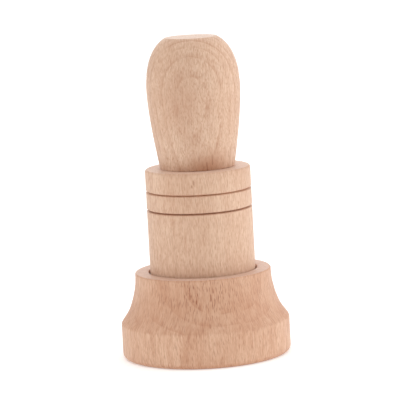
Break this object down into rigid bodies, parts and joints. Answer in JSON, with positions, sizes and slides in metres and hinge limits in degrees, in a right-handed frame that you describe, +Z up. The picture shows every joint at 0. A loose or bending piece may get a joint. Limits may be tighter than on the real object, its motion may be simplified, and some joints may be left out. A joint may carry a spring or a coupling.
{
  "type": "nutcracker",
  "caption": "Turned wooden screw nutcracker: a pear-grip screw threads down into a closed, grooved barrel that stands loose in a flared base.",
  "frame": {"origin": "centre of the base's underside, on the surface it stands on", "axes": "+Z up along the turning axis; +X and +Y are free, because the outside is round"},
  "size_m": [0.09, 0.09, 0.1702],
  "materials": {
    "base_beech": "bare steamed beech, sanded, pinker than the barrel",
    "barrel_beech": "bare beech, sanded, straight grain",
    "spindle_beech": "bare beech, cut thread",
    "grip_beech": "bare beech, sanded, flat-sawn figure",
    "foot_beech": "bare beech, worn by shells",
    "fastener_steel": "zinc-plated steel, satin"
  },
  "bodies": {
    "base": {"base": "base_beech"},
    "barrel": {"barrel": "barrel_beech"},
    "foot": {"pressure_foot": "foot_beech"},
    "screw": {"screw_spindle": "spindle_beech", "grip": "grip_beech", "foot_washer": "fastener_steel", "foot_screw": "fastener_steel"}
  },
  "joints": [
    {"name": "barrel_lift", "type": "slide", "parent": "base", "child": "barrel", "axis": [0, 0, 1], "range_m": [0, 0.035]},
    {"name": "screw_travel", "type": "slide", "parent": "barrel", "child": "foot", "axis": [0, 0, 1], "range_m": [0, 0.0561]},
    {"name": "screw_turn", "type": "hinge", "parent": "foot", "child": "screw", "pos_m": [0, 0, 0.0589], "axis": [0, 0, 1], "range_deg": [0, 2880]}
  ],
  "couplings": [
    {"joint": "screw_travel", "follows": "screw_turn", "m_per_rad": 0.0011141}
  ]
}
